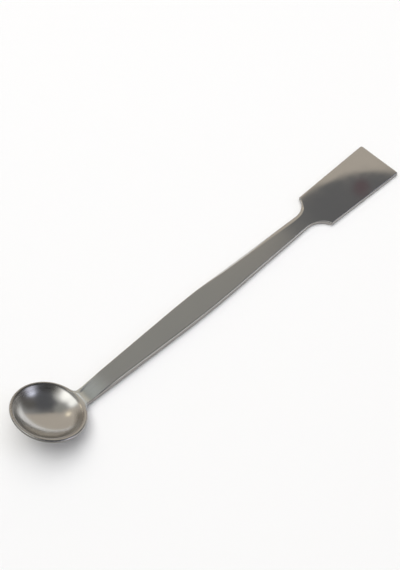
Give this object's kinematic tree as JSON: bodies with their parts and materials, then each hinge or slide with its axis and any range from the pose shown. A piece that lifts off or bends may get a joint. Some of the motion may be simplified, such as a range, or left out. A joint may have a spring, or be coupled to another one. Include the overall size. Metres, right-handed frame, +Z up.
{
  "type": "laboratory spatula",
  "caption": "One-piece steel laboratory spatula: a round dished bowl, a cranked neck, a flat tapered handle and a flared flat blade.",
  "frame": {"origin": "centre of the footprint, on the surface that the tool lies on", "axes": "+X along the handle towards the blade, +Y to the left of the handle, +Z up"},
  "size_m": [0.1784, 0.0264, 0.0136],
  "materials": {
    "stainless_steel": "satin polished stainless steel"
  },
  "bodies": {
    "root": {"spatula": "stainless_steel"}
  },
  "joints": []
}
